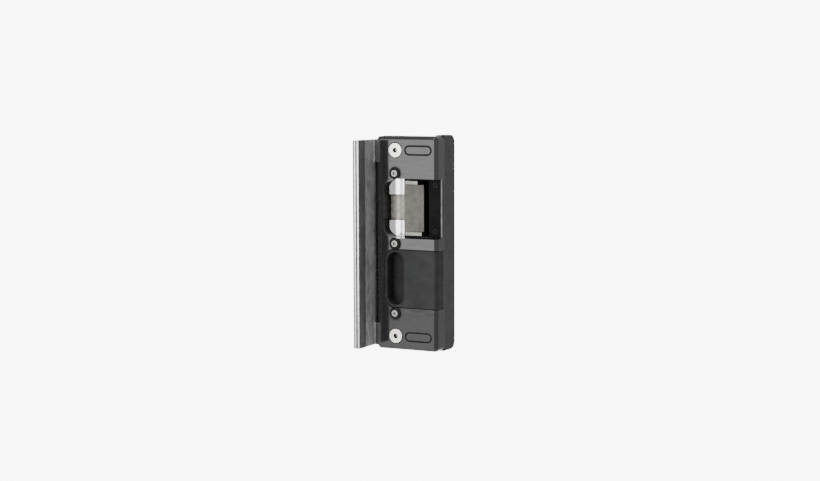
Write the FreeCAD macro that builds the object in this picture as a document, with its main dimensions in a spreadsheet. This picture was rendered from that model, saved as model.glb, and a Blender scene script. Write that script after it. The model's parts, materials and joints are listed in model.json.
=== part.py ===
import FreeCAD, Part

# Electric door strike: a keep for a swing gate that sits on the front face and one side of a square
# post. Its upper recess holds an electric strike, whose jaw swings aside when the coil is off, and
# its lower recess holds an insert with a slot for the deadbolt. A stop plate stands out on the left.
#
# Millimetres. X runs across the post's front face, +Z is up, and the front is towards -Y, so the
# post's face is the plane Y = 0. The origin lies midway between the two fixing screws on that plane.

import os
import re

import Sketcher

V = FreeCAD.Vector
doc = FreeCAD.newDocument("door_strike")

SIZES = {
    # housing and the leg beside the post
    "body_height": 177.0, "body_left": 17.5, "body_right": 38.0, "body_depth": 15.0, "body_round": 3.2,
    "floor": 2.0, "post_half": 30.0, "leg_depth": 20.0, "leg_height": 178.6, "leg_round": 6.5,
    "leg_pocket": 5.5, "leg_step": 74.0, "leg_screw_across": 34.5,
    # the two recesses and the hollows behind the housing's ends
    "recess_left": 10.5, "recess_height": 49.0, "recess_mid": 29.1, "recess_round": 8.5,
    "window_right": 26.9, "hollow_left": 9.0, "hollow_right": 31.0, "hollow_low": 56.4,
    "hollow_high": 86.3, "hollow_skin": 2.4, "cover": 1.5, "gap": 0.1,
    # outline plate engraved beside each fixing screw
    "badge_across": 21.1, "badge_half": 8.3, "badge_radius": 4.2, "badge_line": 1.3, "badge_depth": 0.8,
    # screws: radius of shank, radius of head, length under the top of the head, socket radius
    "fixing_step": 77.0, "fixing_shank": 3.0, "fixing_head": 5.8, "fixing_waist": 2.4, "fixing_length": 40.0,
    "fixing_socket": 2.3, "clamp_step": 58.0, "clamp_shank": 2.0, "clamp_head": 2.6,
    "clamp_head_depth": 1.7, "clamp_length": 12.0, "clamp_socket": 1.45, "small_shank": 1.5,
    "small_head": 2.8, "small_socket": 1.15, "tiny_shank": 1.0, "tiny_head": 1.9,
    "tiny_socket": 0.8, "washer_radius": 4.9, "washer_top": 3.3, "washer_height": 1.9,
    # stop plate, its edge profile and its carrier
    "stop_height": 171.0, "stop_face": 19.8, "stop_thick": 4.0, "stop_front": 30.1, "tab_back": 11.5,
    "tab_thick": 3.0, "tab_reach": 14.1, "tab_height": 18.5, "tab_bend": 0.7, "carrier_left": 25.0,
    "carrier_right": 17.6, "carrier_depth": 11.4, "edge_left": 25.4, "foot_left": 26.4, "edge_front": 41.5,
    "edge_foot": 20.0, "groove_width": 1.3, "groove_depth": 0.7, "bumper_high": 40.4,
    "bumper_seat": 22.4, "bumper_bulge": 16.0,
    # jaw: corners of its section, as distances across and in front of the post's face
    "jaw_height": 38.6, "jaw_left": 7.4, "jaw_lip": 13.4, "jaw_right": 22.1, "jaw_low": 6.5,
    "jaw_skin": 2.5, "jaw_cheek": 2.4, "pivot_across": 10.9, "hub_radius": 3.5, "pin_radius": 2.0,
    "horn_reach": 9.3, "horn_width": 3.0, "horn_angle": 60.0, "horn_bottom": 12.1, "horn_top": 17.4,
    "coil_gap_low": 38.8, "coil_gap_high": 45.2,
    # case behind the strike, frame and plates around the pocket
    "case_left": 10.3, "case_right": 26.7, "case_height": 48.6, "case_wall": 1.6, "case_depth": 17.0,
    "flange_right": 36.0, "flange_thick": 1.2, "flange_screw_across": 31.0, "flange_screw_step": 19.0,
    "frame_left": 8.3, "frame_back": 3.4, "frame_thick": 1.5, "lug_left": 6.6, "lug_right": 17.8,
    "long_lug_right": 21.5, "lug_front": 9.5, "lug_thick": 2.8, "lug_clear": 0.4,
    "guide_left": 10.2, "guide_right": 1.8, "guide_front": 2.0, "guide_rise": 5.2, "guide_bend": 1.5,
    "guide_curve": 13.43, "guide_corner": 8.3, "slot_half": 10.75, "strip_left": 36.3,
    "strip_right": 37.7, "strip_front": 3.5, "floor_right": 6.4,
    # locking lever, plunger and coil
    "lever_across": 3.0, "lever_height": 19.8, "lever_back": 10.0, "lever_thick": 3.0,
    "lever_pin": 1.2, "plunger_across": 3.0, "plunger_back": 8.5, "plunger_radius": 2.4,
    "plunger_low": 17.2, "plunger_top": 34.8, "link_radius": 0.85, "yoke_low": 27.2,
    "yoke_top": 48.0, "yoke_thick": 1.5, "coil_flange": 4.9, "coil_radius": 4.6, "core_low": 37.0,
    # insert for the deadbolt
    "insert_left": 10.2, "insert_height": 48.5, "bolt_across": -0.2, "bolt_radius": 7.5,
    "bolt_half": 14.35, "bolt_floor": 3.5,
    # terminals in the upper hollow
    "board_left": 9.5, "board_right": 30.5, "board_low": 63.0, "board_high": 85.5,
    "board_back": 11.0, "board_thick": 1.4, "inlet_across": 19.0, "inlet_height": 61.6,
    "inlet_hole": 3.6, "inlet_bore": 2.2,
}

sheet = doc.addObject("Spreadsheet::Sheet", "dims")
for row, (alias, size) in enumerate(SIZES.items(), start=1):
    sheet.set(f"A{row}", alias)
    sheet.set(f"B{row}", str(size))
    sheet.setAlias(f"B{row}", alias)
doc.recompute()

TOWARDS = {
    "up": FreeCAD.Rotation(),
    "back": FreeCAD.Rotation(V(1, 0, 0), -90),
    "front": FreeCAD.Rotation(V(1, 0, 0), 90),
    "right": FreeCAD.Rotation(V(0, 1, 0), 90),
    "left": FreeCAD.Rotation(V(0, 1, 0), -90),
}


def bound(text):
    """The expression text with each size's name pointing into the sheet."""
    return re.sub(r"[a-z_]+", lambda word: ("dims." if word[0] in SIZES else "") + word[0], str(text))


def value(text):
    return float(sheet.evalExpression(bound(text)))


def bind(obj, **expressions):
    for name, text in expressions.items():
        obj.setExpression(name, bound(text))
    return obj


def place(obj, x, y, z, towards="up"):
    """Puts obj's own origin at (x, y, z) with its +Z axis turned towards a side."""
    obj.Placement = FreeCAD.Placement(V(value(x), value(y), value(z)), TOWARDS[towards])
    for axis, text in zip("xyz", (x, y, z)):
        obj.setExpression("Placement.Base." + axis, bound(text))
    return obj


# Sketch geometry. Every point is a pair of expressions, and each is dimensioned from the origin.

def fix_point(sk, geometry, vertex, x, y):
    for kind, text in (("DistanceX", x), ("DistanceY", y)):
        number = sk.addConstraint(Sketcher.Constraint(kind, -1, 1, geometry, vertex, value(text)))
        sk.setExpression(f"Constraints[{number}]", bound(text))


def fix_radius(sk, geometry, radius):
    number = sk.addConstraint(Sketcher.Constraint("Radius", geometry, value(radius)))
    sk.setExpression(f"Constraints[{number}]", bound(radius))


def outline(sk, points, arcs=None):
    """A closed outline. arcs gives the radius of the side that starts at a point's number, positive
    where the side bulges to the right of its direction."""
    arcs = arcs or {}
    corners = [V(value(x), value(y), 0) for x, y in points]
    first = sk.GeometryCount
    count = len(points)
    for i, start in enumerate(corners):
        end = corners[(i + 1) % count]
        if i in arcs:
            chord = end - start
            radius = value(arcs[i][0])
            rise = radius - max(0.0, radius ** 2 - (chord.Length / 2) ** 2) ** 0.5
            side = V(chord.y, -chord.x, 0).normalize() * rise * arcs[i][1]
            sk.addGeometry(Part.Arc(start, (start + end) / 2 + side, end))
        else:
            sk.addGeometry(Part.LineSegment(start, end))
    ends = {i: arc_ends(sk, first + i, corners[i]) for i in range(count)}
    for i in range(count):
        after = (i + 1) % count
        here, there = ends[i][1], ends[after][0]
        sk.addConstraint(Sketcher.Constraint("Coincident", first + i, here, first + after, there))
        fix_point(sk, first + i, ends[i][0], *points[i])
        if i in arcs:
            fix_arc(sk, first + i, arcs[i][0], points[i], corners[after] - corners[i])


def fix_arc(sk, geometry, radius, start, chord):
    """Sets an arc's radius, or, for a half circle, that its centre is level with its ends."""
    if value(radius) > chord.Length / 2 + 1e-6:
        fix_radius(sk, geometry, radius)
        return
    kind, text = ("DistanceY", start[1]) if abs(chord.y) < 1e-6 else ("DistanceX", start[0])
    number = sk.addConstraint(Sketcher.Constraint(kind, -1, 1, geometry, 3, value(text)))
    sk.setExpression(f"Constraints[{number}]", bound(text))


def arc_ends(sk, geometry, start):
    """Numbers of a side's first and last vertex. An arc's own order runs anticlockwise."""
    return (1, 2) if sk.getPoint(geometry, 1).distanceToPoint(start) < 1e-6 else (2, 1)


def box(sk, x0, y0, x1, y1):
    outline(sk, [(x0, y0), (x1, y0), (x1, y1), (x0, y1)])


def left_rounded_box(sk, x0, y0, x1, y1, radius):
    outline(sk, [(f"{x0} + {radius}", y0), (x1, y0), (x1, y1), (f"{x0} + {radius}", y1),
                 (x0, f"{y1} - ({radius})"), (x0, f"{y0} + {radius}")], {3: (radius, 1), 5: (radius, 1)})


def disc(sk, x, y, radius):
    number = sk.addGeometry(Part.Circle(V(value(x), value(y), 0), V(0, 0, 1), value(radius)))
    fix_point(sk, number, 3, x, y)
    fix_radius(sk, number, radius)


def oblong(sk, x, y, half, radius, upright=False):
    """A slot outline: two straight sides of length 2 * half with round ends."""
    if upright:
        points = [(f"{x} - ({radius})", f"{y} + {half}"), (f"{x} - ({radius})", f"{y} - ({half})"),
                  (f"{x} + {radius}", f"{y} - ({half})"), (f"{x} + {radius}", f"{y} + {half}")]
    else:
        points = [(f"{x} - ({half})", f"{y} - ({radius})"), (f"{x} + {half}", f"{y} - ({radius})"),
                  (f"{x} + {half}", f"{y} + {radius}"), (f"{x} - ({half})", f"{y} + {radius}")]
    outline(sk, points, {1: (radius, 1), 3: (radius, 1)})


class Piece:
    """A PartDesign body made of sketches and features bound to the sheet."""

    def __init__(self, label):
        self.body = doc.addObject("PartDesign::Body", label)
        self.body.Label = label

    def add(self, kind, name):
        return self.body.newObject(kind, f"{self.body.Name}_{name}")

    def sketch(self, role, offset="0"):
        """A sketch on an origin plane moved along its normal: +Z, +X, or the front for XZ_Plane."""
        sk = self.add("Sketcher::SketchObject", "sketch")
        plane = next(item for item in self.body.Origin.OriginFeatures if item.Role == role)
        sk.AttachmentSupport = [(plane, "")]
        sk.MapMode = "FlatFace"
        sk.setExpression("AttachmentOffset.Base.z", bound(offset))
        return sk

    def volume(self):
        doc.recompute()
        return self.body.Shape.Volume

    def pad(self, sk, length):
        feature = self.add("PartDesign::Pad", "pad")
        feature.Profile = sk
        bind(feature, Length=length)
        self.volume()
        return self

    def pocket(self, sk, depth, forwards=False):
        """Cuts from the sketch against its normal, or along it where forwards is set."""
        before = self.volume()
        feature = self.add("PartDesign::Pocket", "pocket")
        feature.Profile = sk
        feature.Reversed = forwards
        bind(feature, Length=depth)
        self.must_shrink(before, feature)
        return self

    def must_shrink(self, before, feature):
        if not self.volume() < before - 1e-3:
            raise RuntimeError(f"{feature.Name} cuts nothing")

    def drill(self, x, y, z, radius, depth, towards="back"):
        before = self.volume()
        hole = bind(self.add("PartDesign::SubtractiveCylinder", "hole"), Radius=radius, Height=depth)
        place(hole, x, y, z, towards)
        self.must_shrink(before, hole)
        return self

    def sink(self, x, y, z, top, bottom, towards="back"):
        """A 90 degree countersink that narrows from radius top to radius bottom."""
        before = self.volume()
        cone = self.add("PartDesign::SubtractiveCone", "sink")
        bind(cone, Radius1=top, Radius2=bottom, Height=f"{top} - ({bottom})")
        place(cone, x, y, z, towards)
        self.must_shrink(before, cone)
        return self

    def dress(self, kind, size, wanted):
        """A Fillet or Chamfer on the edges for which wanted(edge) is true."""
        self.volume()
        base = self.body.Tip
        edges = [f"Edge{i}" for i, edge in enumerate(base.Shape.Edges, start=1) if wanted(edge)]
        feature = self.add("PartDesign::" + kind, kind.lower())
        feature.Base = (base, edges)
        bind(feature, **{"Radius" if kind == "Fillet" else "Size": size})
        self.volume()
        return self

    def turn(self, points):
        """A solid of revolution about the body's own Z axis, from (radius, height) points."""
        sk = self.sketch("XZ_Plane")
        outline(sk, points)
        feature = self.add("PartDesign::Revolution", "turned")
        feature.Profile = sk
        feature.ReferenceAxis = (sk, ["V_Axis"])
        feature.Angle = 360
        self.volume()
        return self


def along(axis, **at):
    """A test for edges parallel to an axis that lie at given places, such as X=-10."""
    def wanted(edge):
        room = edge.BoundBox
        spans = {"X": room.XLength, "Y": room.YLength, "Z": room.ZLength}
        middle = {"X": room.Center.x, "Y": room.Center.y, "Z": room.Center.z}
        straight = all(length < 1e-4 for name, length in spans.items() if name != axis)
        return straight and all(abs(middle[name] - place) < 1e-3 for name, place in at.items())
    return wanted


def in_plane(**at):
    """A test for edges that lie wholly in a plane, such as Y=-15."""
    (name, level), = at.items()

    def wanted(edge):
        room = edge.BoundBox
        low, high = getattr(room, name + "Min"), getattr(room, name + "Max")
        return abs(low - level) < 1e-4 and abs(high - level) < 1e-4
    return wanted


def either(*tests):
    return lambda edge: any(test(edge) for test in tests)


def rod(label, x, y, z, radius, length, towards="up"):
    piece = bind(doc.addObject("Part::Cylinder", label), Radius=radius, Height=length)
    piece.Label = label
    return place(piece, x, y, z, towards)


def group(label, pattern, places, towards):
    """One node of separate solids, each a copy of the pattern at one of the places."""
    links = []
    for spot in places:
        link = doc.addObject("App::Link", label + "_copy")
        link.LinkedObject = pattern
        links.append(place(link, *spot, towards))
    together = doc.addObject("Part::Compound", label)
    together.Label = label
    together.Links = links
    return together


def screw(name, head, shank, length, socket, head_depth=None, waist=None):
    """A hex socket screw standing along its own +Z axis, with the top of its head at height 0.
    It is countersunk unless head_depth is given. A waist is the radius of the plain part next to
    the head and the depth where it ends."""
    plain, ends = waist or (shank, None)
    if head_depth is None:
        neck = [(head, "-0.3"), (plain, f"-0.3 - ({head}) + {plain}")]
    else:
        neck = [(head, f"-({head_depth})"), (plain, f"-({head_depth})")]
    if waist:
        neck += [(plain, f"-({ends})"), (shank, f"-({ends})")]
    piece = Piece(name + "_pattern")
    piece.turn([("0", "0"), (head, "0"), *neck, (shank, f"-({length})"), ("0", f"-({length})")])
    sk = piece.sketch("XY_Plane")
    outline(sk, [(f"{socket} * cos({60 * i})", f"{socket} * sin({60 * i})") for i in range(6)])
    return piece.pocket(sk, f"({head}) * 0.42").body


def ring(label, x, y, z, profile, towards="up"):
    piece = Piece(label).turn(profile)
    return place(piece.body, x, y, z, towards)


def coil_spring(label, x, y, z, radius, wire, pitch, height):
    piece = Piece(label)
    sk = piece.sketch("XZ_Plane")
    disc(sk, radius, "0", wire)
    helix = piece.add("PartDesign::AdditiveHelix", "helix")
    helix.Profile = sk
    helix.ReferenceAxis = (sk, ["V_Axis"])
    bind(helix, Pitch=pitch, Height=height)
    piece.volume()
    return place(piece.body, x, y, z)


# Places that several pieces share.

BODY_SIDES = ("1", "-1")
FRONT = "-body_depth"
COVER_SCREWS = [("hollow_right - 2.4", "hollow_low + 2.6"), ("-hollow_left + 2.4", "hollow_high - 2.7")]
BOARD_SCREWS = [("board_left + 2", "board_high - 2"), ("board_right - 2", "board_high - 2")]
CASE_SCREWS = [("-5", "11"), ("5.2", "45.6")]
YOKE_SCREWS = [("-plunger_across", "32"), ("-plunger_across", "43")]
FLANGE_SCREWS = [("flange_screw_across", f"recess_mid + {side} * flange_screw_step") for side in BODY_SIDES]
TAB_SCREWS = [("-21.8", f"{side} * {height}") for side in BODY_SIDES for height in (72, 81)]
EDGE_SCREWS = [f"{side} * {height}" for side in BODY_SIDES for height in (20, 62)]
CARRIER_SCREWS = ["-66", "0", "66"]
LEG_SCREWS = ["-leg_step", "0", "leg_step"]


def front_housing():
    piece = Piece("front_housing")
    sk = piece.sketch("XZ_Plane")
    box(sk, "-body_left", "-body_height / 2", "body_right", "body_height / 2")
    piece.pad(sk, "body_depth")
    corners = either(*[along("Y", X=value(x), Z=side * value("body_height / 2"))
                       for x in ("-body_left", "body_right") for side in (1, -1)])
    piece.dress("Fillet", "body_round", either(in_plane(Y=value(FRONT)), corners))

    sk = piece.sketch("XZ_Plane", "body_depth")
    box(sk, "-recess_left", "recess_mid - recess_height / 2",
        "window_right", "recess_mid + recess_height / 2")
    piece.pocket(sk, "body_depth")
    sk = piece.sketch("XZ_Plane", "body_depth")
    for side, left in (("1", "window_right - 1"), ("-1", "-recess_left")):
        middle = f"{side} * recess_mid"
        box(sk, left, f"{middle} - recess_height / 2", "body_right + 1", f"{middle} + recess_height / 2")
    piece.pocket(sk, "body_depth - floor")
    piece.dress("Fillet", "recess_round", along("Y", X=value("-recess_left")))

    sk = piece.sketch("XZ_Plane")
    for side in BODY_SIDES:
        box(sk, "-hollow_left", f"{side} * hollow_low", "hollow_right", f"{side} * hollow_high")
    piece.pocket(sk, "body_depth - hollow_skin", forwards=True)
    bosses = [[("0", "fixing_step", "8"), ("0", "clamp_step", "4.2")],
              [(x, z, "3") for x, z in COVER_SCREWS]]
    for batch in bosses:
        sk = piece.sketch("XZ_Plane", "cover + gap")
        for side in BODY_SIDES:
            for x, z, radius in batch:
                disc(sk, x, f"{side} * ({z})", radius)
        piece.pad(sk, "body_depth - hollow_skin - cover")

    for side in BODY_SIDES:
        height = f"{side} * fixing_step"
        piece.drill("0", FRONT, height, "fixing_shank + 0.3", "body_depth")
        piece.drill("0", FRONT, height, "fixing_head + 0.7", "0.8", "back")
        piece.sink("0", FRONT, height, "fixing_head + 0.35", "fixing_shank + 0.2")
        for x, z in COVER_SCREWS:
            piece.drill(x, "-cover - gap", f"{side} * ({z})", "tiny_shank + 0.05", "6", "front")
    for height in ("-clamp_step", "0", "clamp_step"):
        piece.drill("0", FRONT, height, "clamp_shank + 0.05", "clamp_length")
    for height in CARRIER_SCREWS:
        piece.drill("-body_left", "-carrier_depth / 2", height, "small_shank + 0.05", "8.2", "right")
    for height in LEG_SCREWS:
        piece.drill("leg_screw_across", "0", height, "small_shank + 0.05", "8", "front")
    for x, z in FLANGE_SCREWS:
        piece.drill(x, "-floor", z, "small_shank + 0.05", "floor")
    for x, z in BOARD_SCREWS:
        piece.drill(x, "-body_depth + hollow_skin", z, "tiny_shank + 0.05", "1.2", "front")

    sk = piece.sketch("XZ_Plane", "body_depth")
    for side in BODY_SIDES:
        box(sk, "-body_left - 1", f"{side} * (stop_height / 2 - tab_height - gap)",
            "-tab_reach + gap", f"{side} * (stop_height / 2 + gap)")
    piece.pocket(sk, "body_depth - tab_back + gap")
    sk = piece.sketch("XZ_Plane", "body_depth")
    for side in BODY_SIDES:
        height = f"{side} * fixing_step"
        oblong(sk, "badge_across", height, "badge_half", "badge_radius")
        oblong(sk, "badge_across", height, "badge_half", "(badge_radius - badge_line)")
    return piece.pocket(sk, "badge_depth").body


def corner_leg():
    piece = Piece("corner_leg")
    sk = piece.sketch("YZ_Plane", "post_half")
    box(sk, "0", "-leg_height / 2", "leg_depth", "leg_height / 2")
    piece.pad(sk, "body_right - post_half")
    piece.dress("Fillet", "leg_round", along("X", Y=value("leg_depth")))
    piece.dress("Fillet", "0.7", in_plane(X=value("body_right")))
    sk = piece.sketch("YZ_Plane", "post_half")
    for side in BODY_SIDES:
        box(sk, "3", f"{side} * 6", "leg_depth - 3", f"{side} * (leg_step - 6)")
    piece.pocket(sk, "leg_pocket", forwards=True)
    for height in LEG_SCREWS:
        piece.drill("leg_screw_across", "0", height, "small_shank + 0.1", "leg_depth", "back")
        piece.drill("leg_screw_across", "leg_depth", height, "small_head + 0.1", "3.5", "front")
    return piece.body


def stop_plate():
    """An angle: its web stands out to the front, and its two tabs hook into the housing's edge."""
    piece = Piece("stop_plate")
    sk = piece.sketch("XY_Plane", "-stop_height / 2")
    box(sk, "-stop_face - stop_thick", "-stop_front", "-stop_face", "-tab_back")
    piece.pad(sk, "stop_height")
    sk = piece.sketch("XZ_Plane", "tab_back")
    for side in BODY_SIDES:
        box(sk, "-stop_face - 1", f"{side} * (stop_height / 2 - tab_height)", "-tab_reach",
            f"{side} * stop_height / 2")
    piece.pad(sk, "tab_thick")
    piece.dress("Fillet", "tab_bend", along("Z", X=value("-stop_face"), Y=value("-tab_back - tab_thick")))
    for x, z in TAB_SCREWS:
        piece.drill(x, "-tab_back", z, "small_shank + 0.05", "5", "front")
    for z in EDGE_SCREWS:
        piece.drill("-stop_face - stop_thick", "-(edge_foot + stop_front) / 2", z,
                    "small_shank + 0.05", "3", "right")
    return piece.body


def stop_edge():
    """The edge profile: a head with a sloped shoulder, a groove down its front and a seat for the
    rubber, over a foot that laps the plate."""
    piece = Piece("stop_edge")
    sk = piece.sketch("XY_Plane", "-stop_height / 2")
    groove = "-edge_left + 2.8"
    lap = "-stop_face - stop_thick - gap"
    outline(sk, [("-foot_left", "-edge_foot"), ("-foot_left", "-stop_front - 0.5"),
                 ("-edge_left", "-stop_front - 1.5"), ("-edge_left", "-edge_front + 0.6"),
                 ("-edge_left + 1.6", "-edge_front"), (groove, "-edge_front"),
                 (groove, "-edge_front + groove_depth"), (f"{groove} + groove_width", "-edge_front"),
                 ("-stop_face - 0.1", "-edge_front"), ("-stop_face", "-edge_front + 0.1"),
                 ("-stop_face", "-bumper_high"), ("-bumper_seat", "-bumper_high"),
                 ("-bumper_seat", "-stop_front - gap"), (lap, "-stop_front - gap"), (lap, "-edge_foot")])
    piece.pad(sk, "stop_height")
    for z in EDGE_SCREWS:
        spot = ("-foot_left", "-(edge_foot + stop_front) / 2", z)
        piece.drill(*spot, "small_shank + 0.1", "4", "right")
        piece.sink(*spot, "small_head + 0.35", "small_shank + 0.05", "right")
    return piece.body


def stop_bumper():
    piece = Piece("stop_bumper")
    sk = piece.sketch("XY_Plane", "-stop_height / 2 + gap")
    outline(sk, [("-bumper_seat + gap / 2", "-stop_front - gap"), ("-stop_face", "-stop_front - gap"),
                 ("-stop_face", "-bumper_high + gap / 2"),
                 ("-bumper_seat + gap / 2", "-bumper_high + gap / 2")],
            {1: ("bumper_bulge", -1)})
    return piece.pad(sk, "stop_height - 2 * gap").body


def stop_carrier():
    piece = Piece("stop_carrier")
    sk = piece.sketch("XZ_Plane")
    box(sk, "-carrier_left", "-stop_height / 2", "-carrier_right", "stop_height / 2")
    piece.pad(sk, "carrier_depth")
    piece.dress("Chamfer", "1", either(in_plane(X=value("-carrier_left"))))
    for x, z in TAB_SCREWS:
        piece.drill(x, "0", z, "small_shank + 0.1", "carrier_depth", "front")
        piece.sink(x, "0", z, "small_head + 0.35", "small_shank + 0.05", "front")
    for z in CARRIER_SCREWS:
        spot = ("-carrier_left", "-carrier_depth / 2", z)
        piece.drill(*spot, "small_shank + 0.1", "carrier_left - carrier_right", "right")
        piece.sink(*spot, "small_head + 0.35", "small_shank + 0.05", "right")
    return piece.body


def deadbolt_insert():
    piece = Piece("deadbolt_insert")
    sk = piece.sketch("XZ_Plane", "floor")
    left_rounded_box(sk, "-insert_left", "-recess_mid - insert_height / 2", "body_right",
                     "-recess_mid + insert_height / 2", "recess_round - 0.3")
    piece.pad(sk, "body_depth - floor")
    piece.dress("Fillet", "body_round", along("Z", X=value("body_right"), Y=value(FRONT)))
    piece.dress("Chamfer", "0.6", lambda edge: in_plane(Y=value(FRONT))(edge)
                and edge.BoundBox.XMin < value("body_right - 5"))
    sk = piece.sketch("XZ_Plane", "body_depth")
    oblong(sk, "bolt_across", "-recess_mid", "bolt_half", "bolt_radius", upright=True)
    piece.pocket(sk, "body_depth - bolt_floor")
    mouth = value("bolt_half + bolt_radius") + 0.1
    piece.dress("Fillet", "0.9", lambda edge: in_plane(Y=value(FRONT))(edge)
                and abs(edge.BoundBox.Center.z + value("recess_mid")) < mouth
                and abs(edge.BoundBox.Center.x - value("bolt_across")) < value("bolt_radius") + 0.1)
    return piece.body


def rear_cover(label, side, inlet):
    piece = Piece(label)
    sk = piece.sketch("XZ_Plane")
    box(sk, "-hollow_left + gap", f"{side} * (hollow_low + gap)", "hollow_right - gap",
        f"{side} * (hollow_high - gap)")
    disc(sk, "0", f"{side} * fixing_step", "fixing_shank + 0.3")
    if inlet:
        disc(sk, "inlet_across", f"{side} * inlet_height", "inlet_hole")
    piece.pad(sk, "cover")
    for x, z in COVER_SCREWS:
        piece.drill(x, "0", f"{side} * ({z})", "tiny_shank + 0.1", "cover", "front")
        piece.sink(x, "0", f"{side} * ({z})", "tiny_head + 0.35", "tiny_shank + 0.05", "front")
    return piece.body


def module_case():
    """The open case of the strike. A flange at its right end lies on the housing's floor."""
    piece = Piece("module_case")
    low, high = "recess_mid - case_height / 2", "recess_mid + case_height / 2"
    sk = piece.sketch("XZ_Plane", "-case_depth")
    left_rounded_box(sk, "-case_left", low, "case_right", high, "recess_round - 0.2")
    piece.pad(sk, "case_depth")
    piece.dress("Chamfer", "1", in_plane(Y=value("case_depth")))
    sk = piece.sketch("XZ_Plane", "0")
    box(sk, "case_right - case_wall", low, "case_right", high)
    piece.pad(sk, "floor + gap")
    sk = piece.sketch("XZ_Plane", "floor + gap")
    box(sk, "case_right - case_wall", low, "flange_right", high)
    piece.pad(sk, "flange_thick")
    sk = piece.sketch("XZ_Plane")
    for level in (low, f"{high} - case_wall"):
        box(sk, "guide_right + 2 * gap", level, "case_right - case_wall / 2", f"{level} + case_wall")
    piece.pad(sk, "floor")
    sk = piece.sketch("XZ_Plane")
    left_rounded_box(sk, "-case_left + case_wall", f"{low} + case_wall", "case_right - case_wall",
                     f"{high} - case_wall", "recess_round - 1.8")
    piece.pocket(sk, "case_depth - case_wall")
    sk = piece.sketch("XZ_Plane", "-case_depth + case_wall")
    for x, z in CASE_SCREWS:
        disc(sk, x, z, "3")
    piece.pad(sk, "case_depth - case_wall - frame_back")
    sk = piece.sketch("XZ_Plane", "-case_depth + case_wall")
    disc(sk, "lever_across", "lever_height", "2.4")
    piece.pad(sk, "case_depth - case_wall - lever_back - 2 * gap")
    for x, z in CASE_SCREWS:
        piece.drill(x, "case_depth", z, "small_shank + 0.1", "case_depth", "front")
        piece.sink(x, "case_depth", z, "small_head + 0.35", "small_shank + 0.05", "front")
    for x, z in YOKE_SCREWS:
        piece.drill(x, "case_depth", z, "tiny_shank + 0.1", "case_wall", "front")
        piece.sink(x, "case_depth", z, "tiny_head + 0.35", "tiny_shank + 0.05", "front")
    piece.drill("lever_across", "case_depth - case_wall", "lever_height", "lever_pin + 0.05",
                "case_depth - case_wall - lever_back", "front")
    for x, z in FLANGE_SCREWS:
        spot = (x, "-floor - gap - flange_thick", z)
        piece.drill(*spot, "small_shank + 0.1", "flange_thick")
        piece.sink(*spot, "small_shank + 1.35", "small_shank + 0.1")
    return piece.body


def strike_frame():
    """A plate under the latch pocket that carries the jaw's pin in two lugs."""
    piece = Piece("strike_frame")
    low = "recess_mid - jaw_height / 2 - lug_clear - lug_thick"
    high = "recess_mid + jaw_height / 2 + lug_clear"
    sk = piece.sketch("XZ_Plane", "-frame_back")
    box(sk, "-frame_left", low, "lug_left", f"{high} + lug_thick")
    piece.pad(sk, "frame_thick")
    piece.dress("Fillet", "recess_round - 2.2", along("Y", X=value("-frame_left")))
    for level, right in ((low, "long_lug_right"), (high, "lug_right")):
        sk = piece.sketch("XY_Plane", level)
        outline(sk, [("lug_left", "frame_back + 1.1"), ("lug_left", "-lug_front"), (right, "-lug_front"),
                     (right, "0"), (f"{right} - 3.5", "frame_back + 1.1")])
        piece.pad(sk, "lug_thick")
    sk = piece.sketch("XZ_Plane", "-frame_back")
    for level in (low, high):
        box(sk, "lug_left - 2", level, "lug_left + 1", f"{level} + lug_thick")
    piece.pad(sk, "frame_thick")
    sk = piece.sketch("XZ_Plane", "0")
    box(sk, "0.5", "horn_bottom - 0.5", "lug_left + 1", "horn_top + 0.5")
    piece.pocket(sk, "frame_back + 1")
    piece.drill("pivot_across", "0", low, "pin_radius + 0.03", "case_height", "up")
    for x, z in CASE_SCREWS:
        piece.drill(x, "frame_back", z, "small_shank + 0.05", "frame_thick", "front")
    piece.drill("lever_across", "frame_back", "lever_height", "lever_pin + 0.05", "frame_thick", "front")
    return piece.body


def latch_guide(label, side):
    """A polished plate beside the jaw that curves up to the recess's left wall."""
    piece = Piece(label)
    outer = f"recess_mid + {side} * case_height / 2"
    inner = f"recess_mid + {side} * slot_half"
    sk = piece.sketch("XY_Plane", outer if side == "-1" else inner)
    outline(sk, [("-guide_left", "-gap"), ("guide_right", "-gap"), ("guide_right", "-guide_front"),
                 ("-guide_bend", "-guide_front"), ("-guide_left", "-guide_rise")],
            {3: ("guide_curve", 1)})
    piece.pad(sk, "case_height / 2 - slot_half")
    sk = piece.sketch("XZ_Plane", "-frame_thick - 0.3")
    box(sk, "-2", inner, "1.5", f"recess_mid + {side} * 22.2")
    piece.pad(sk, "frame_thick + 0.3 + 2 * gap")
    sk = piece.sketch("XZ_Plane", "guide_rise + 1")
    corner = [("-guide_left", f"{outer} - {side} * guide_corner"),
              ("-guide_left - 1", f"{outer} - {side} * guide_corner"),
              ("-guide_left - 1", f"{outer} + {side}"), ("-guide_left + guide_corner", f"{outer} + {side}"),
              ("-guide_left + guide_corner", outer)]
    outline(sk, corner, {4: ("guide_corner", int(side))})
    piece.pocket(sk, "guide_rise + 2")
    return piece.body


def latch_floor():
    """The deeper plate between the two guides, where the latch bolt's nose goes."""
    piece = Piece("latch_floor")
    sk = piece.sketch("XY_Plane", "recess_mid - slot_half + gap")
    outline(sk, [("-guide_left", "-gap"), ("-frame_left", "-gap"), ("-frame_left", "frame_thick + 0.3"),
                 ("floor_right", "frame_thick + 0.3"), ("floor_right", "0.9"), ("-3", "0.9"),
                 ("-guide_left", "-2.2")],
            {5: ("9.3", 1)})
    return piece.pad(sk, "2 * (slot_half - gap)").body


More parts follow.
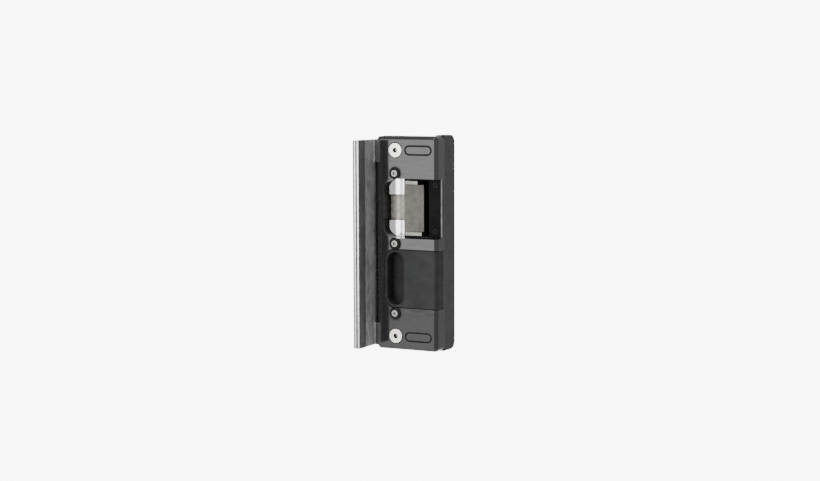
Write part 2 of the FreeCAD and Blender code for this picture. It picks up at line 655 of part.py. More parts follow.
def jaw():
    piece = Piece("jaw")
    low = "recess_mid - jaw_height / 2"
    sk = piece.sketch("XY_Plane", low)
    outline(sk, [("jaw_left", "-jaw_lip"), ("jaw_left", "0"), ("jaw_left + jaw_skin", "0"),
                 ("jaw_left + jaw_skin", "-jaw_lip + jaw_skin * 1.6"),
                 ("jaw_right - 0.9", "-jaw_low + jaw_skin"), ("jaw_right", "-jaw_low + 0.4"),
                 ("jaw_right", "-jaw_low")])
    piece.pad(sk, "jaw_height")
    sk = piece.sketch("XY_Plane", low)
    disc(sk, "pivot_across", "0", "hub_radius")
    piece.pad(sk, "jaw_height")
    for level in (low, "recess_mid + jaw_height / 2 - jaw_cheek"):
        sk = piece.sketch("XY_Plane", level)
        outline(sk, [("jaw_left", "-jaw_lip"), ("jaw_left", "0"), ("pivot_across + hub_radius", "0"),
                     ("jaw_right - 0.9", "-jaw_low + jaw_skin"), ("jaw_right", "-jaw_low")])
        piece.pad(sk, "jaw_cheek")
    sk = piece.sketch("XY_Plane", "horn_bottom")
    tip = {side: (f"pivot_across + horn_reach * cos(horn_angle) + {side} * horn_width / 2 * sin(horn_angle)",
                  f"horn_reach * sin(horn_angle) - {side} * horn_width / 2 * cos(horn_angle)")
           for side in (1, -1)}
    root = {side: (f"pivot_across + {side} * horn_width / 2 * sin(horn_angle)",
                   f"-{side} * horn_width / 2 * cos(horn_angle)") for side in (1, -1)}
    outline(sk, [root[1], tip[1], tip[-1], root[-1]])
    piece.pad(sk, "horn_top - horn_bottom")
    piece.drill("pivot_across", "0", low, "pin_radius + 0.05", "jaw_height", "up")
    piece.drill("pivot_across", "0", "coil_gap_low", "hub_radius + 0.5",
                "coil_gap_high - coil_gap_low", "up")
    piece.dress("Fillet", "0.6", along("Z", X=value("jaw_left"), Y=value("-jaw_lip")))
    return piece.body


def locking_lever():
    """A rocker: the plunger lifts its left arm, and its right end drops beside the jaw's horn."""
    piece = Piece("locking_lever")
    sk = piece.sketch("XZ_Plane", "-lever_back")
    outline(sk, [("-4.4", "lever_height - 1.1"), ("lever_across", "lever_height - 2"),
                 ("12.6", "lever_height - 2"), ("12.6", "lever_height + 1.4"),
                 ("lever_across", "lever_height + 2.2"), ("-4.4", "lever_height + 1.1")])
    disc(sk, "lever_across", "lever_height", "lever_pin + 0.05")
    oblong(sk, "-plunger_across", "lever_height", "0.4", "link_radius + 0.1")
    return piece.pad(sk, "lever_thick").body


def plunger():
    piece = Piece("plunger")
    collar = "plunger_low + 5.9"
    piece.turn([("0", "plunger_low"), ("plunger_radius", "plunger_low"), ("plunger_radius", collar),
                ("3.6", collar), ("3.6", f"{collar} + 0.8"), ("plunger_radius", f"{collar} + 0.8"),
                ("plunger_radius", "plunger_top - 0.5"), ("plunger_radius - 0.5", "plunger_top"),
                ("0", "plunger_top")])
    sk = piece.sketch("YZ_Plane", "4")
    box(sk, "-lever_thick / 2 - 0.15", "plunger_low - 1", "lever_thick / 2 + 0.15", "plunger_low + 5.6")
    piece.pocket(sk, "8")
    piece.drill("0", "-3", "lever_height", "link_radius + 0.02", "6", "back")
    return place(piece.body, "-plunger_across", "plunger_back", "0")


def solenoid_yoke():
    piece = Piece("solenoid_yoke")
    left, right = "-plunger_across - coil_flange", "-plunger_across + coil_flange"
    back = "case_depth - case_wall - yoke_thick"
    sk = piece.sketch("YZ_Plane", left)
    inner_low, inner_top = "yoke_low + yoke_thick", "yoke_top - yoke_thick"
    outline(sk, [("plunger_back - 4.9", "yoke_low"), (f"{back} + yoke_thick", "yoke_low"),
                 (f"{back} + yoke_thick", "yoke_top"), ("plunger_back - 4.9", "yoke_top"),
                 ("plunger_back - 4.9", inner_top), (back, inner_top), (back, inner_low),
                 ("plunger_back - 4.9", inner_low)])
    piece.pad(sk, f"{right} - ({left})")
    piece.drill("-plunger_across", "plunger_back", "yoke_low", "plunger_radius + 0.08",
                "yoke_top - yoke_low", "up")
    for x, z in YOKE_SCREWS:
        piece.drill(x, f"{back} + yoke_thick", z, "tiny_shank + 0.05", "yoke_thick", "front")
    return piece.body


def terminal_block():
    piece = Piece("terminal_block")
    sk = piece.sketch("XZ_Plane", "2.6")
    box(sk, "12", "66", "28", "75")
    piece.pad(sk, "board_back - 2.6")
    piece.dress("Chamfer", "0.6", in_plane(Y=value("-2.6")))
    for x in ("16", "24"):
        piece.drill(x, "-2.6", "70.5", "2.1", "4", "front")
        piece.drill(x, "-6.6", "70.5", "tiny_shank + 0.05", "1.6", "front")
        piece.drill(x, "-7.4", "66", "1.5", "3", "up")
    return piece.body


def circuit_board():
    piece = Piece("circuit_board")
    sk = piece.sketch("XZ_Plane", "board_back")
    box(sk, "board_left", "board_low", "board_right", "board_high")
    for x, z in BOARD_SCREWS:
        disc(sk, x, z, "tiny_shank + 0.1")
    return piece.pad(sk, "board_thick").body


def wear_strip():
    """A bright strip along the right end of the upper recess, rounded where the latch climbs it."""
    piece = Piece("wear_strip")
    sk = piece.sketch("XZ_Plane", "floor")
    box(sk, "strip_left", "recess_mid - case_height / 2", "strip_right", "recess_mid + case_height / 2")
    piece.pad(sk, "strip_front - floor")
    return piece.dress("Fillet", "1", along("Z", X=value("strip_right"), Y=value("-strip_front"))).body


def screws():
    """Each group of identical fasteners, as one node."""
    small = ("small_head", "small_shank")
    tiny = ("tiny_head", "tiny_shank")
    patterns = {
        "fixing": screw("fixing", "fixing_head", "fixing_shank", "fixing_length", "fixing_socket",
                        waist=("fixing_waist", "body_depth + 0.5")),
        "module": screw("module", "clamp_head", "clamp_shank", "clamp_length", "clamp_socket",
                        "clamp_head_depth"),
        "carrier": screw("carrier", *small, "15.4", "small_socket"),
        "tab": screw("tab", *small, "15.6", "small_socket"),
        "edge": screw("edge", *small, "5", "small_socket"),
        "leg": screw("leg", *small, "25", "small_socket", "2.8"),
        "case": screw("case", *small, "15", "small_socket"),
        "flange": screw("flange", "small_shank + 1", "small_shank", "3", "small_socket"),
        "cover": screw("cover", *tiny, "6", "tiny_socket"),
        "yoke": screw("yoke", *tiny, "2.6", "tiny_socket"),
        "board": screw("board", *tiny, "3.3", "tiny_socket", "1"),
        "terminal": screw("terminal", "2", "1", "5", "tiny_socket", "1.2"),
    }
    heights = ("-clamp_step", "0", "clamp_step")
    covers = [(x, "0", f"{side} * ({z})") for side in BODY_SIDES for x, z in COVER_SCREWS]
    lap = "-(edge_foot + stop_front) / 2"
    proud = "-body_depth - washer_height"
    places = {
        "fixing": ([("0", FRONT, f"{side} * fixing_step") for side in BODY_SIDES], "front"),
        "module": ([("0", proud, z) for z in heights], "front"),
        "carrier": ([("-carrier_left", "-carrier_depth / 2", z) for z in CARRIER_SCREWS], "left"),
        "tab": ([(x, "0", z) for x, z in TAB_SCREWS], "back"),
        "edge": ([("-foot_left", lap, z) for z in EDGE_SCREWS], "left"),
        "leg": ([("leg_screw_across", "leg_depth - 0.6", z) for z in LEG_SCREWS], "back"),
        "case": ([(x, "case_depth", z) for x, z in CASE_SCREWS], "back"),
        "flange": ([(x, "-floor - gap - flange_thick", z) for x, z in FLANGE_SCREWS], "front"),
        "cover": (covers, "back"),
        "yoke": ([(x, "case_depth", z) for x, z in YOKE_SCREWS], "back"),
        "board": ([(x, "-board_back + 1", z) for x, z in BOARD_SCREWS], "back"),
        "terminal": ([(x, "-3", "70.5") for x in ("16", "24")], "back"),
    }
    return [group(f"{name}_screws", patterns[name], *places[name]) for name in patterns]


def clamp_washers():
    pattern = Piece("washer_pattern")
    hole = "clamp_shank + 0.1"
    seat = "washer_height - clamp_head_depth"
    sk = pattern.sketch("XZ_Plane")
    outline(sk, [(hole, "0"), ("washer_radius", "0"), ("washer_radius", "0.4"),
                 ("washer_top", "washer_height"), ("clamp_head + 0.1", "washer_height"),
                 ("clamp_head + 0.1", seat), (hole, seat)], {2: ("2.6", 1)})
    turned = pattern.add("PartDesign::Revolution", "turned")
    turned.Profile = sk
    turned.ReferenceAxis = (sk, ["V_Axis"])
    turned.Angle = 360
    pattern.volume()
    places = [("0", FRONT, z) for z in ("-clamp_step", "0", "clamp_step")]
    return group("clamp_washers", pattern.body, places, "front")


def small_pieces():
    """Pins, springs, rings and the other turned pieces."""
    plunger_axis = ("-plunger_across", "plunger_back")
    bobbin_low, bobbin_top = "yoke_low + yoke_thick + 0.05", "yoke_top - yoke_thick - 0.05"
    tube = "plunger_radius + 0.2"
    pin_low = "recess_mid - jaw_height / 2 - lug_clear - lug_thick"
    return [
        rod("jaw_pin", "pivot_across", "0", pin_low, "pin_radius",
            "jaw_height + 2 * (lug_clear + lug_thick)"),
        rod("lever_pin", "lever_across", "case_depth - case_wall - 0.5", "lever_height", "lever_pin",
            "case_depth - case_wall - frame_back + 0.8", "front"),
        rod("plunger_pin", "-plunger_across", "plunger_back - plunger_radius + 0.1", "lever_height",
            "link_radius", "2 * plunger_radius - 0.2", "back"),
        rod("solenoid_core", *plunger_axis, "core_low", "plunger_radius", "yoke_top - core_low"),
        ring("coil_bobbin", *plunger_axis, "0",
             [(tube, bobbin_low), ("coil_flange", bobbin_low), ("coil_flange", f"{bobbin_low} + 0.9"),
              ("3.3", f"{bobbin_low} + 0.9"), ("3.3", f"{bobbin_top} - 0.9"),
              ("coil_flange", f"{bobbin_top} - 0.9"), ("coil_flange", bobbin_top), (tube, bobbin_top)]),
        ring("coil_winding", *plunger_axis, "0",
             [("3.35", f"{bobbin_low} + 1"), ("coil_radius", f"{bobbin_low} + 1"),
              ("coil_radius", f"{bobbin_top} - 1"), ("3.35", f"{bobbin_top} - 1")]),
        ring("cable_grommet", "inlet_across", "1.2", "inlet_height",
             [("inlet_bore", "0"), ("inlet_hole + 1", "0"), ("inlet_hole + 1", "1.15"),
              ("inlet_hole - 0.05", "1.15"), ("inlet_hole - 0.05", "cover + 1.25"),
              ("inlet_hole + 1", "cover + 1.25"), ("inlet_hole + 1", "cover + 2.3"),
              ("inlet_bore", "cover + 2.3")], "front"),
        ring("suppressor_diode", "13.5", "-board_back + 1.5", "80.5",
             [("0", "0"), ("0.35", "0"), ("0.35", "3"), ("1.4", "3"), ("1.4", "10"), ("0.35", "10"),
              ("0.35", "13"), ("0", "13")], "right"),
        coil_spring("jaw_spring", "pivot_across", "0", "coil_gap_low + 0.8", "2.95", "0.4", "0.98", "4.9"),
        coil_spring("plunger_spring", *plunger_axis, "plunger_low + 6.95", "3.05", "0.2", "1.4", "2.8"),
    ]


def checked(objects):
    """Stops if any object of the document failed or a sub-part has no valid solid."""
    doc.recompute()
    for obj in doc.Objects:
        if {"Invalid", "Error"} & set(obj.State):
            raise RuntimeError(f"{obj.Label} failed: {obj.State}")
    for obj in objects:
        shape = obj.Shape
        if shape.isNull() or not shape.isValid() or not shape.Solids:
            raise RuntimeError(f"{obj.Label} has no valid solid")
    return objects


parts = checked([
    front_housing(), corner_leg(), stop_plate(), stop_edge(), stop_bumper(), stop_carrier(),
    deadbolt_insert(), rear_cover("upper_cover", "1", inlet=True),
    rear_cover("lower_cover", "-1", inlet=False),
    module_case(), strike_frame(), latch_guide("upper_latch_guide", "1"),
    latch_guide("lower_latch_guide", "-1"), latch_floor(), wear_strip(), jaw(), locking_lever(), plunger(),
    solenoid_yoke(), terminal_block(), circuit_board(), clamp_washers(), *screws(), *small_pieces(),
])
os.makedirs("parts", exist_ok=True)
for part in parts:
    part.Shape.exportStep(f"parts/{part.Label}.step")
    print(f"{part.Label}: {len(part.Shape.Solids)} solid(s), {part.Shape.Volume:.1f} mm3")
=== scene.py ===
import json
import math

import bpy
from mathutils import Matrix, Vector


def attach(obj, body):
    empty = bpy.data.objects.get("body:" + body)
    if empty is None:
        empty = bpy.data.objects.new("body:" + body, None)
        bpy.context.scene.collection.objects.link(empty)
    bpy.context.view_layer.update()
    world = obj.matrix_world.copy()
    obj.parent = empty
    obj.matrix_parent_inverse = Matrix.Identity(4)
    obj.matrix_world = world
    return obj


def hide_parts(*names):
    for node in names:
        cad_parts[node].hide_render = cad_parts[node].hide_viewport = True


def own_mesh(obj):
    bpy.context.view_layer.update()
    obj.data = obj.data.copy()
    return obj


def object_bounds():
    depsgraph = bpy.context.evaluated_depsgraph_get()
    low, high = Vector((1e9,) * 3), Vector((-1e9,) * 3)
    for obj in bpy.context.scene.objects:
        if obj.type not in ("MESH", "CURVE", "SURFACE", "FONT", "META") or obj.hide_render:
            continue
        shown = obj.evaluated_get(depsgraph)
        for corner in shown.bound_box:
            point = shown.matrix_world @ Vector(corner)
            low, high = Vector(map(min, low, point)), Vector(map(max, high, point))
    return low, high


# An electric door strike, shown held up as it would be on its post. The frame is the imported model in
# metres: X across the post's front face, +Z up, and the front towards -Y.

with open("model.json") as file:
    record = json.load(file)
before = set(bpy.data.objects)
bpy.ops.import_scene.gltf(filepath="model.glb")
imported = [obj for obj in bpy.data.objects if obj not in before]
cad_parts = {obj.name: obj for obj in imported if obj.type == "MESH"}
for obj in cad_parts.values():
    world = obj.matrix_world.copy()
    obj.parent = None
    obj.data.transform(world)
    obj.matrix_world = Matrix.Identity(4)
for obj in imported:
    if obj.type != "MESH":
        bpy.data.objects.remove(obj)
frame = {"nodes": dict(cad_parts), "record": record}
cad_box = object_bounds()
nodes = frame["nodes"]


# Camera: 27 degrees round to the right of the housing's front, looking a little downwards, 1.4 m away.

IMAGE_WIDTH = 820
FOCAL_LENGTH = 1656.5  # in pixels of the image
SENSOR_WIDTH = 36
CAMERA_PLACE = (0.6242, -1.2232, 0.1368)
YAW, PITCH, ROLL = math.radians(26.81), math.radians(5.64), math.radians(0.18)


def add_camera():
    data = bpy.data.cameras.new("camera")
    data.sensor_width = SENSOR_WIDTH
    data.lens = FOCAL_LENGTH / IMAGE_WIDTH * SENSOR_WIDTH
    data.clip_start = 0.01
    data.clip_end = 60
    camera = bpy.data.objects.new("camera", data)
    bpy.context.scene.collection.objects.link(camera)
    bpy.context.scene.camera = camera
    camera.matrix_world = (Matrix.Translation(CAMERA_PLACE) @ Matrix.Rotation(YAW, 4, "Z")
                           @ Matrix.Rotation(math.pi / 2 - PITCH, 4, "X") @ Matrix.Rotation(-ROLL, 4, "Z"))


add_camera()


# Materials. Each is a small graph over the object's own coordinates, which are metres.

BEVEL_SAMPLES = 6
HOLLOW_SAMPLES = 8

class Graph:
    """Builds one material's nodes. A value given to a socket may be a number, a colour or a socket."""

    def __init__(self, name):
        self.material = bpy.data.materials.new(name)
        self.material.use_nodes = True
        self.tree = self.material.node_tree
        self.shader = self.tree.nodes["Principled BSDF"]
        self.where = self.node("ShaderNodeTexCoord").outputs["Object"]

    def node(self, kind, inputs=None, **settings):
        made = self.tree.nodes.new(kind)
        for name, setting in settings.items():
            setattr(made, name, setting)
        for name, source in (inputs or {}).items():
            self.feed(made.inputs[name], source)
        return made

    def feed(self, socket, source):
        if isinstance(source, bpy.types.NodeSocket):
            self.tree.links.new(source, socket)
        else:
            socket.default_value = source

    def noise(self, per_mm, stretch=(1, 1, 1), detail=3.0, roughness=0.55, distortion=0.0):
        """Noise with about per_mm features to the millimetre, drawn out along an axis by stretch."""
        scale = [1000 * per_mm / s for s in stretch]
        moved = self.node("ShaderNodeMapping", {"Vector": self.where, "Scale": scale})
        made = self.node("ShaderNodeTexNoise", {"Vector": moved.outputs[0], "Scale": 1.0, "Detail": detail,
                                                "Roughness": roughness, "Distortion": distortion})
        return made.outputs[0]

    def remap(self, source, low, high, to_low=0.0, to_high=1.0):
        made = self.node("ShaderNodeMapRange", {"Value": source, "From Min": low, "From Max": high,
                                                "To Min": to_low, "To Max": to_high})
        return made.outputs[0]

    def math(self, operation, a, b):
        made = self.node("ShaderNodeMath", operation=operation)
        self.feed(made.inputs[0], a)
        self.feed(made.inputs[1], b)
        return made.outputs[0]

    def mix(self, factor, a, b):
        made = self.node("ShaderNodeMix", data_type="RGBA")
        for socket, source in ((made.inputs[0], factor), (made.inputs[6], a), (made.inputs[7], b)):
            self.feed(socket, source)
        return made.outputs[2]

    def edges(self, radius):
        """About 1 along sharp edges and 0 elsewhere."""
        bevel = self.node("ShaderNodeBevel", {"Radius": radius}, samples=BEVEL_SAMPLES).outputs[0]
        flat = self.node("ShaderNodeNewGeometry").outputs["Normal"]
        along = self.node("ShaderNodeVectorMath", operation="DOT_PRODUCT")
        self.feed(along.inputs[0], bevel)
        self.feed(along.inputs[1], flat)
        return self.remap(along.outputs["Value"], 0.995, 0.86)

    def bump(self, height, strength, distance, normal=None):
        inputs = {"Height": height, "Strength": strength, "Distance": distance}
        if normal is not None:
            inputs["Normal"] = normal
        return self.node("ShaderNodeBump", inputs).outputs[0]

    def soft_edges(self, radius):
        return self.node("ShaderNodeBevel", {"Radius": radius}, samples=BEVEL_SAMPLES).outputs[0]

    def hollow(self, distance, open_sky=0.72, shut_sky=0.35):
        """About 1 in narrow holes and grooves and 0 in the open; the materials use it to paint shade into
        hollows.
        """
        sky = self.node("ShaderNodeAmbientOcclusion", {"Distance": distance}, samples=HOLLOW_SAMPLES)
        return self.remap(sky.outputs["AO"], open_sky, shut_sky)

    def set(self, **sockets):
        for name, source in sockets.items():
            self.feed(self.shader.inputs[name.replace("_", " ")], source)
        return self.material


def rgb(r, g=None, b=None):
    g = r if g is None else g
    b = r if b is None else b
    return (r, g, b, 1.0)


def lacquer(name, colour, roughness, orange_peel=0.05):
    """A glossy coat over black: near mirror, with faint ripple, hairline marks and dust, edges lightened
    partly by wear and partly as a painted highlight, and less shine in hollows as painted shade.
    """
    g = Graph(name)
    ripple = g.noise(0.35, detail=1.0)
    marks = g.noise(0.5, (9, 1, 1.3), detail=5.0, roughness=0.7, distortion=0.4)
    dust = g.remap(g.noise(5, detail=1.0), 0.72, 0.8)
    # Lighter along edges: partly wear, partly a painted edge highlight.
    wear_and_edge_light = g.math("MULTIPLY", g.edges(0.0004), g.remap(g.noise(0.8), 0.42, 0.62))
    # Less shine in grooves and holes: painted shade in hollows.
    shaded_hollows = g.hollow(0.0025, 0.97, 0.74)
    normal = g.bump(ripple, orange_peel, 0.00005, g.soft_edges(0.00035))
    tone = g.mix(g.math("MULTIPLY", dust, 0.06), colour, rgb(0.3))
    shine = g.math("MULTIPLY", g.remap(marks, 0.3, 0.7, 0.54, 0.42), g.remap(shaded_hollows, 0, 1, 1, 0.04))
    return g.set(Base_Color=g.mix(g.math("MULTIPLY", wear_and_edge_light, 0.2), tone, rgb(0.12)),
                 Roughness=g.remap(marks, 0.3, 0.75, roughness, roughness + 0.09),
                 Specular_IOR_Level=shine, IOR=1.52, Normal=normal)


def plastic(name, colour, roughness, grain=6.0, depth=0.25, lighter=1.35, shine=0.25):
    """Moulded plastic with a fine grain that catches light and is polished on its edges, which are also
    lightened as a painted highlight.
    """
    g = Graph(name)
    pits = g.noise(grain, detail=2.0)
    cloud = g.noise(0.08, detail=3.0)
    paler = rgb(*[min(1.0, channel * lighter) for channel in colour[:3]])
    # Lighter along edges: partly polish and wear, partly a painted edge highlight.
    worn_and_lit_edges = g.math("MULTIPLY", g.edges(0.00035), 0.5)
    normal = g.bump(pits, depth, 0.00004, g.soft_edges(0.0003))
    return g.set(Base_Color=g.mix(worn_and_lit_edges, g.mix(g.remap(cloud, 0.35, 0.65), colour, paler), paler),
                 Roughness=g.math("SUBTRACT", g.remap(pits, 0.3, 0.7, roughness - 0.05, roughness + 0.07),
                                  g.math("MULTIPLY", worn_and_lit_edges, 0.2)),
                 Specular_IOR_Level=g.remap(cloud, 0.3, 0.7, shine * 0.85, shine * 1.15), Normal=normal)


def metal(name, colour, roughness, brushed=(1, 1, 1), grain=3.0, depth=0.15, mottle=0.12, dirt=0.0,
          shade=0.5, bright=0.4, reach=0.0015):
    """Bare or plated metal: grain drawn out along the brushing, uneven sheen, painted shade in hollows,
    and bright edges that are partly wear and partly a painted highlight.
    """
    g = Graph(name)
    lines = g.noise(grain, brushed, detail=4.0, roughness=0.65)
    cloud = g.noise(0.22, detail=4.0, roughness=0.6)
    darker = rgb(*[channel * (1 - 2.2 * mottle) for channel in colour[:3]])
    paler = rgb(*[min(1.0, channel * (1 + mottle)) for channel in colour[:3]])
    tone = g.mix(g.remap(cloud, 0.3, 0.7), darker, paler)
    if dirt:
        spots = g.remap(g.noise(0.9, detail=5.0, roughness=0.7), 0.52, 0.68)
        tone = g.mix(g.math("MULTIPLY", spots, dirt), tone, rgb(0.05, 0.045, 0.035))
    # Darker in hollows within reach: painted shade.
    tone = g.mix(g.math("MULTIPLY", g.hollow(reach), shade), tone, rgb(0.01))
    # Lighter along edges: partly wear, partly a painted edge highlight.
    worn_and_lit_edges = g.math("MULTIPLY", g.edges(0.00025), bright)
    normal = g.bump(lines, depth, 0.00003, g.soft_edges(0.0002))
    return g.set(Base_Color=g.mix(worn_and_lit_edges, tone, rgb(0.8)), Metallic=1.0,
                 Roughness=g.remap(lines, 0.3, 0.7, roughness * 0.8, roughness * 1.25), Normal=normal)


def galvanised(name):
    """A dull zinc coat: patches of crystal, darker handling marks, pale edges that are partly wear and
    partly a painted highlight, and a painted shadow on the tab.
    """
    g = Graph(name)
    crystals = g.node("ShaderNodeTexVoronoi", {"Vector": g.where, "Scale": 420.0}, feature="F1")
    patches = g.noise(0.14, (1, 1, 2.2), detail=5.0, roughness=0.62, distortion=0.6)
    fine = g.noise(2.4, detail=3.0)
    tone = g.mix(g.remap(patches, 0.34, 0.66), rgb(0.27, 0.272, 0.279), rgb(0.54, 0.54, 0.53))
    tone = g.mix(g.math("MULTIPLY", g.remap(crystals.outputs["Color"], 0.0, 1.0), 0.2), tone, rgb(0.36))
    spots = g.remap(g.noise(1.1, (1, 1, 1.8), detail=4.0), 0.6, 0.72)
    tone = g.mix(g.math("MULTIPLY", spots, 0.4), tone, rgb(0.05))
    # Darker from X = -19.6 mm rightwards, on the tab: a painted shadow cast by the stop plate.
    across = g.node("ShaderNodeSeparateXYZ", {"Vector": g.where}).outputs["X"]
    tone = g.mix(g.remap(across, -0.0196, -0.0188, 0, 0.85), tone, rgb(0.03))
    # Paler along edges: partly wear, partly a painted edge highlight.
    tone = g.mix(g.math("MULTIPLY", g.edges(0.0004), 0.5), tone, rgb(0.4))
    return g.set(Base_Color=tone, Metallic=0.65, Roughness=g.remap(fine, 0.3, 0.7, 0.42, 0.6),
                 Normal=g.bump(fine, 0.22, 0.00005, g.soft_edges(0.0003)))


def rubber(name):
    g = Graph(name)
    skin = g.noise(4, detail=3.0)
    bloom = g.noise(0.1, (1, 1, 3), detail=4.0)
    return g.set(Base_Color=g.mix(g.remap(bloom, 0.35, 0.7), rgb(0.045), rgb(0.09, 0.09, 0.094)),
                 Roughness=g.remap(skin, 0.3, 0.7, 0.55, 0.75),
                 Normal=g.bump(skin, 0.2, 0.00005, g.soft_edges(0.0003)))


def winding(name):
    """Enamelled wire laid in turns along Z."""
    g = Graph(name)
    wires = g.node("ShaderNodeTexWave", {"Vector": g.where, "Scale": 640.0}, wave_type="BANDS",
                   bands_direction="Z").outputs["Fac"]
    return g.set(Base_Color=g.mix(wires, rgb(0.28, 0.09, 0.03), rgb(0.75, 0.34, 0.16)), Metallic=0.9,
                 Roughness=0.28, Normal=g.bump(wires, 0.6, 0.0001))


def board(name):
    """Solder mask with tracks that show through as a paler pattern."""
    g = Graph(name)
    tracks = g.node("ShaderNodeTexBrick", {"Vector": g.where, "Scale": 260.0, "Color1": rgb(0),
                                           "Color2": rgb(0.3), "Mortar": rgb(1)})
    return g.set(Base_Color=g.mix(tracks.outputs["Color"], rgb(0.006, 0.08, 0.03), rgb(0.02, 0.17, 0.06)),
                 Roughness=0.3, Normal=g.bump(tracks.outputs["Color"], 0.2, 0.00004))


BRUSHED_UP = (1, 1, 18)
MATERIALS = {
    "gloss_black": lacquer("gloss_black", rgb(0.018, 0.018, 0.0192), 0.035),
    "satin_black": plastic("satin_black", rgb(0.012), 0.42, 5.0, 0.2, shine=0.1),
    "insert_black": plastic("insert_black", rgb(0.02, 0.02, 0.021), 0.5, 5.0, 0.35, shine=0.12),
    "leg_black": plastic("leg_black", rgb(0.022, 0.022, 0.024), 0.46, 3.5, 0.25, shine=0.3),
    "case_black": plastic("case_black", rgb(0.004), 0.4, 4.0, 0.2, shine=0.04),
    "galvanised": galvanised("galvanised"),
    "ribbed_aluminium": metal("ribbed_aluminium", rgb(0.5, 0.5, 0.485), 0.2, BRUSHED_UP, 4.0, 0.15,
                              mottle=0.12, dirt=0.2, bright=0.05),
    "rubber": rubber("rubber"),
    "nickel": metal("nickel", rgb(0.22, 0.212, 0.192), 0.4, (1, 6, 1), 3.0, 0.2, dirt=0.2),
    "polished_steel": metal("polished_steel", rgb(0.92, 0.92, 0.915), 0.16, (1, 1, 3), 1.2, 0.05,
                            mottle=0.05, dirt=0.06),
    # yellow_zinc has strong, far-reaching painted shade, darker near the recess wall.
    "yellow_zinc": metal("yellow_zinc", rgb(0.42, 0.4, 0.35), 0.45, (1, 1, 5), 2.0, 0.15,
                         mottle=0.16, dirt=0.2, shade=0.8, reach=0.009),
    "blasted_steel": metal("blasted_steel", rgb(0.2, 0.188, 0.168), 0.58, grain=6.0, depth=0.5,
                           mottle=0.1, dirt=0.08),
    "strip_steel": metal("strip_steel", rgb(0.16, 0.16, 0.156), 0.5, (1, 1, 6), 3.0, 0.2, dirt=0.2),
    "zinc": metal("zinc", rgb(0.62, 0.62, 0.63), 0.32, grain=2.0, mottle=0.1, dirt=0.1),
    # screw_steel and dull_steel have painted shade in their sockets.
    "screw_steel": metal("screw_steel", rgb(0.74, 0.725, 0.69), 0.26, grain=2.5, depth=0.1,
                         mottle=0.08, dirt=0.12, shade=0.97, reach=0.005),
    "dull_steel": metal("dull_steel", rgb(0.24, 0.235, 0.225), 0.3, grain=2.5, depth=0.1,
                        mottle=0.1, dirt=0.2, shade=0.97, reach=0.004),
    "screw_black": metal("screw_black", rgb(0.014), 0.45, mottle=0.15, bright=0.03),
    "spring_steel": metal("spring_steel", rgb(0.5, 0.5, 0.5), 0.3, grain=4.0, depth=0.1, mottle=0.1),
    "bobbin": plastic("bobbin", rgb(0.68, 0.66, 0.58), 0.45, 3.0, 0.15, 1.1),
    "copper": winding("copper"),
    "terminal_green": plastic("terminal_green", rgb(0.04, 0.26, 0.08), 0.4, 4.0, 0.15, 1.2),
    "board_green": board("board_green"),
    "diode_black": lacquer("diode_black", rgb(0.01), 0.2),
}
for entry in frame["record"]["subparts"]:
    for slot in nodes[entry["node"]].material_slots:
        slot.material = MATERIALS[entry["material_slot"]]


# The coil lifts the plunger by 1.98 mm. The plunger's spring is drawn as a copy of its mesh on the root
# body, in place of the imported part.

def add_plunger_spring():
    node = nodes["plunger_spring"]
    spring = bpy.data.objects.new("plunger_return_spring", node.data.copy())
    bpy.context.scene.collection.objects.link(spring)
    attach(spring, "root")
    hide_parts("plunger_spring")
    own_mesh(spring)


add_plunger_spring()


# Studio: a bright wall behind, a pale floor well below the strike, soft boxes and an even surround that
# is dimmer than the wall.

FLOOR_LEVEL = cad_box[0].z - 0.9
WALL_TOP = 1.4
WALL_BRIGHTNESS = 8.7
WALL_LEFT, WALL_MIDDLE, WALL_RIGHT = (-4.2, 0.1), (0.02, 2.26), (2.6, 3.57)

def plain(name, colour):
    g = Graph(name)
    tone = g.mix(g.noise(0.02), rgb(colour), rgb(colour * 1.01))
    return g.set(Base_Color=tone, Roughness=0.9, Specular_IOR_Level=0.1)


def glowing(name, strength):
    g = Graph(name)
    return g.set(Base_Color=rgb(0.0), Specular_IOR_Level=0.0, Emission_Color=rgb(1.0),
                 Emission_Strength=strength)


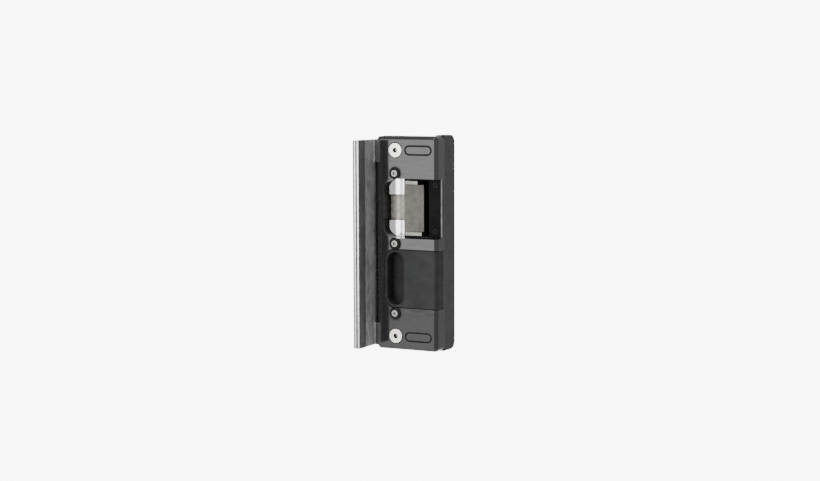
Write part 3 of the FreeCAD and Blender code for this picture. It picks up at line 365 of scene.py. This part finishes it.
def add_sheet(name, corners, material):
    mesh = bpy.data.meshes.new(name)
    mesh.from_pydata(corners, [], [(0, 1, 2, 3)])
    sheet = bpy.data.objects.new(name, mesh)
    bpy.context.scene.collection.objects.link(sheet)
    mesh.materials.append(material)
    return sheet


def add_floor(level, reach=14.0):
    add_sheet("floor", [(-reach, -reach, level), (reach, -reach, level), (reach, reach, level),
                        (-reach, reach, level)], plain("floor", 0.86))


def add_wall(name, left, right, low, high):
    """Part of the wall behind the strike. Gloss doesn't mirror it, so the strike's edges stay dark."""
    wall = add_sheet(name, [(*left, low), (*right, low), (*right, high), (*left, high)],
                     glowing(name, WALL_BRIGHTNESS))
    wall.visible_glossy = False
    return wall


def soft_box(name, place, target, width, height, brightness):
    """A rectangular light whose face has the given radiance."""
    light = bpy.data.lights.new(name, "AREA")
    light.shape = "RECTANGLE"
    light.size, light.size_y = width, height
    light.energy = brightness * math.pi * width * height
    made = bpy.data.objects.new(name, light)
    bpy.context.scene.collection.objects.link(made)
    made.location = place
    made.rotation_mode = "QUATERNION"
    made.rotation_quaternion = (Vector(target) - Vector(place)).to_track_quat("-Z", "Y")


def add_surround(strength):
    world = bpy.data.worlds.new("surround")
    bpy.context.scene.world = world
    world.use_nodes = True
    background = world.node_tree.nodes["Background"]
    background.inputs["Color"].default_value = rgb(0.93)
    background.inputs["Strength"].default_value = strength


add_floor(FLOOR_LEVEL)
# The wall's right part is only a backdrop: it casts no light on the leg.
add_wall("wall_left", WALL_LEFT, WALL_MIDDLE, FLOOR_LEVEL, WALL_TOP)
wall_right = add_wall("wall_right", WALL_MIDDLE, WALL_RIGHT, FLOOR_LEVEL, WALL_TOP)
wall_right.visible_diffuse = False
add_surround(0.7)
# Two panels to the left of the camera, the upper one wide and bright, the lower one dimmer.
soft_box("upper_panel", (-0.5, -1.5, 0.16), (0, 0, 0.16), 1.5, 0.86, 4.7)
soft_box("lower_panel", (-0.62, -1.42, -0.56), (0, 0, -0.56), 1.2, 0.56, 1.6)
soft_box("top_box", (0.0, -0.75, 1.3), (0, 0, 0), 0.7, 0.5, 9.0)
soft_box("right_box", (1.5, -0.5, 0.3), (0, 0, 0), 0.6, 1.2, 1.1)
